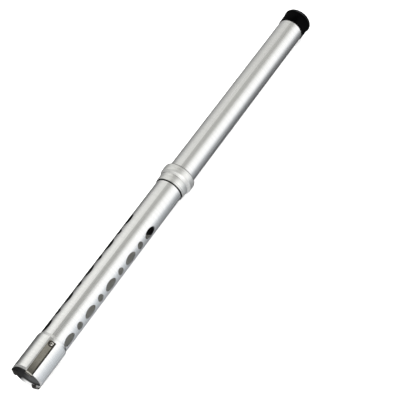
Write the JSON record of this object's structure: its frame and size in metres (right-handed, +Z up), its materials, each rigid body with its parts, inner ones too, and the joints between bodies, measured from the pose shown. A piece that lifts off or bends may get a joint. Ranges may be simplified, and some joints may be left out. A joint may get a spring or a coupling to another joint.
{
  "type": "golf ball retriever",
  "caption": "Telescopic aluminium golf ball retriever tube with a flared, spring-clipped mouth, drain holes, a twist-lock collar and a black rubber end cap.",
  "frame": {"origin": "middle of the overall length, on the surface under the widest piece, the collar, with the tube lying along X", "axes": "+X along the tube from the mouth to the capped end, +Z up"},
  "size_m": [0.83, 0.0562, 0.0562],
  "materials": {
    "tube_aluminium": "satin clear-anodised, fine turned lines",
    "clip_steel": "bright rolled spring steel, warm nickel tone",
    "rivet_nickel": "bright nickel plate",
    "mandrel_steel": "broken steel stem, dull",
    "collar_plastic": "moulded silver-grey, satin",
    "black_plastic": "moulded, matte",
    "clamp_acetal": "natural acetal",
    "washer_steel": "pressed, bright",
    "seal_rubber": "soft, matte",
    "cap_rubber": "moulded, satin black"
  },
  "bodies": {
    "lower": {"lower_tube": "tube_aluminium", "collar_core": "black_plastic", "clip_base_1": "clip_steel", "clip_base_2": "clip_steel", "clip_base_3": "clip_steel", "rivet_1": "rivet_nickel", "rivet_2": "rivet_nickel", "rivet_3": "rivet_nickel", "rivet_mandrel_1": "mandrel_steel", "rivet_mandrel_2": "mandrel_steel", "rivet_mandrel_3": "mandrel_steel"},
    "clip_1": {"clip_leaf_1": "clip_steel"},
    "clip_2": {"clip_leaf_2": "clip_steel"},
    "clip_3": {"clip_leaf_3": "clip_steel"},
    "clamp": {"clamp_ring": "clamp_acetal", "thrust_washer": "washer_steel"},
    "nut": {"lock_nut": "collar_plastic", "skirt_seal": "seal_rubber", "wiper_ring": "seal_rubber"},
    "upper": {"upper_tube": "tube_aluminium", "guide_bush": "black_plastic"},
    "cap": {"end_cap": "cap_rubber"}
  },
  "joints": [
    {"name": "clip_1_flex", "type": "hinge", "parent": "lower", "child": "clip_1", "pos_m": [-0.367, -0.00824, 0.05202], "axis": [0, 0.9455, 0.3256], "range_deg": [0, 6.5], "stiffness_Nm_per_rad": 1.4},
    {"name": "clip_2_flex", "type": "hinge", "parent": "lower", "child": "clip_2", "pos_m": [-0.367, -0.0166, 0.00901], "axis": [0, -0.7547, 0.6561], "range_deg": [0, 6.5], "stiffness_Nm_per_rad": 1.4},
    {"name": "clip_3_flex", "type": "hinge", "parent": "lower", "child": "clip_3", "pos_m": [-0.367, 0.02484, 0.02327], "axis": [0, -0.1908, -0.9816], "range_deg": [0, 6.5], "stiffness_Nm_per_rad": 1.4},
    {"name": "lock_advance", "type": "slide", "parent": "lower", "child": "clamp", "axis": [1, 0, 0], "range_m": [0, 0.00076]},
    {"name": "lock_turn", "type": "hinge", "parent": "clamp", "child": "nut", "pos_m": [-0.0049, 0, 0.0281], "axis": [1, 0, 0], "range_deg": [0, 90]},
    {"name": "extension", "type": "slide", "parent": "lower", "child": "upper", "axis": [1, 0, 0], "range_m": [-0.245, 0.092]},
    {"name": "cap_pull", "type": "slide", "parent": "upper", "child": "cap", "axis": [1, 0, 0], "range_m": [0, 0.035]}
  ],
  "couplings": [
    {"joint": "lock_advance", "follows": "lock_turn", "m_per_rad": 0.00047746}
  ]
}
